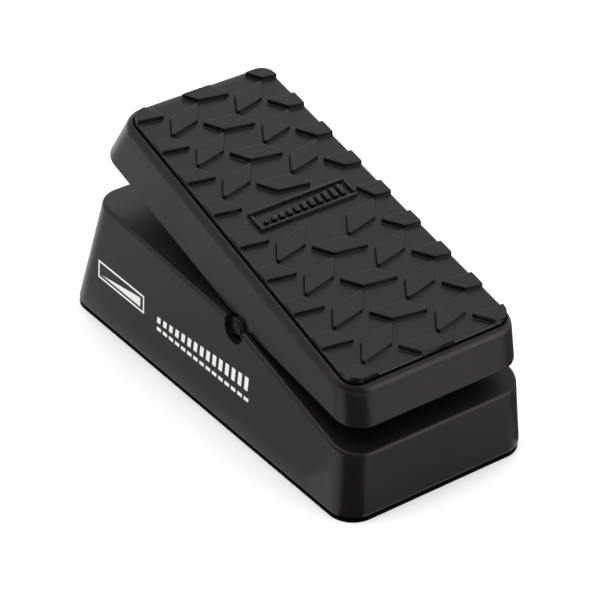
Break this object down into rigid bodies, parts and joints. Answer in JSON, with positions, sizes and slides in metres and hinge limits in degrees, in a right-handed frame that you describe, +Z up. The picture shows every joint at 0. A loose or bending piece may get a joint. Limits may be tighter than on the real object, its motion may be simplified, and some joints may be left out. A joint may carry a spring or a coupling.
{
  "type": "volume pedal",
  "caption": "Compact foot volume pedal: cast wedge housing, rocking treadle with a moulded rubber tread, band-driven potentiometer and quarter-inch jack sockets on the toe end.",
  "frame": {"origin": "on the floor under the middle of the pedal's box", "axes": "+Z up, +Y towards the toe end and the jack sockets, +X to the right seen from the heel"},
  "size_m": [0.0706, 0.1545, 0.0809],
  "materials": {
    "cast_finish": "satin black powder coat on cast aluminium",
    "tread_rubber": "moulded matt black rubber",
    "pad_rubber": "matt black rubber sheet",
    "stop_rubber": "moulded rubber",
    "plate_steel": "black coated sheet steel",
    "screw_steel": "zinc plated",
    "black_oxide": "black oxide on turned steel",
    "band_steel": "polished spring steel strip",
    "black_nylon": "moulded nylon",
    "jack_plastic": "moulded plastic",
    "nickel": "nickel plated",
    "drum_brass": "turned brass",
    "tinned_lugs": "tinned",
    "pot_can": "pressed can",
    "board_laminate": "green solder mask",
    "part_plastic": "moulded plastic",
    "trimmer_plastic": "moulded blue plastic"
  },
  "bodies": {
    "base": {"housing": "cast_finish", "bottom_plate": "plate_steel", "base_pad": "pad_rubber", "plate_screws": "screw_steel", "pivot_bushes": "black_nylon", "bush_caps": "plate_steel", "cap_screws": "screw_steel", "toe_stops": "stop_rubber", "heel_stops": "stop_rubber", "pot_bushing": "nickel", "pot_nut": "nickel", "pot_washer": "nickel", "pot_body": "pot_can", "pot_lugs": "tinned_lugs", "pot_bracket": "plate_steel", "bracket_screws": "screw_steel", "friction_pad": "black_nylon", "tension_nut": "screw_steel", "tension_bracket": "plate_steel", "input_jack_sleeve": "nickel", "input_jack_body": "jack_plastic", "aux_jack_sleeve": "nickel", "aux_jack_body": "jack_plastic", "output_jack_sleeve": "nickel", "output_jack_body": "jack_plastic", "jack_nuts": "nickel", "jack_washers": "nickel", "jack_lugs": "tinned_lugs", "circuit_board": "board_laminate", "board_screws": "screw_steel", "board_parts": "part_plastic", "switch_body": "part_plastic", "trimmer_body": "trimmer_plastic"},
    "treadle": {"treadle": "cast_finish", "treadle_mat": "tread_rubber", "pivot_axle": "black_oxide", "axle_clips": "black_oxide", "drive_sector": "plate_steel", "sector_band": "band_steel", "band_screws": "screw_steel", "sector_screws": "screw_steel"},
    "drum": {"band_drum": "drum_brass", "drum_band": "band_steel", "drum_screw": "screw_steel", "pot_shaft": "screw_steel"},
    "slider": {"mode_slider": "part_plastic"},
    "trimmer": {"trimmer_rotor": "trimmer_plastic"},
    "tension": {"tension_screw": "screw_steel"}
  },
  "joints": [
    {"name": "treadle_rock", "type": "hinge", "parent": "base", "child": "treadle", "pos_m": [0, -0.0169, 0.0378], "axis": [1, 0, 0], "range_deg": [-9.5, 7.5]},
    {"name": "drum_turn", "type": "hinge", "parent": "base", "child": "drum", "pos_m": [0, 0.00855, 0.01791], "axis": [1, 0, 0], "range_deg": [-61, 77]},
    {"name": "mode_slide", "type": "slide", "parent": "base", "child": "slider", "axis": [1, 0, 0], "range_m": [0, 0.002]},
    {"name": "trimmer_turn", "type": "hinge", "parent": "base", "child": "trimmer", "pos_m": [0.0115, 0.03, 0.0295], "axis": [0, 0, 1], "range_deg": [-135, 135]},
    {"name": "tension_turn", "type": "hinge", "parent": "base", "child": "tension", "pos_m": [-0.008, -0.00508, 0.02857], "axis": [1, 0, 0], "range_deg": [-180, 180]}
  ],
  "couplings": [
    {"joint": "drum_turn", "follows": "treadle_rock", "ratio": -8}
  ]
}
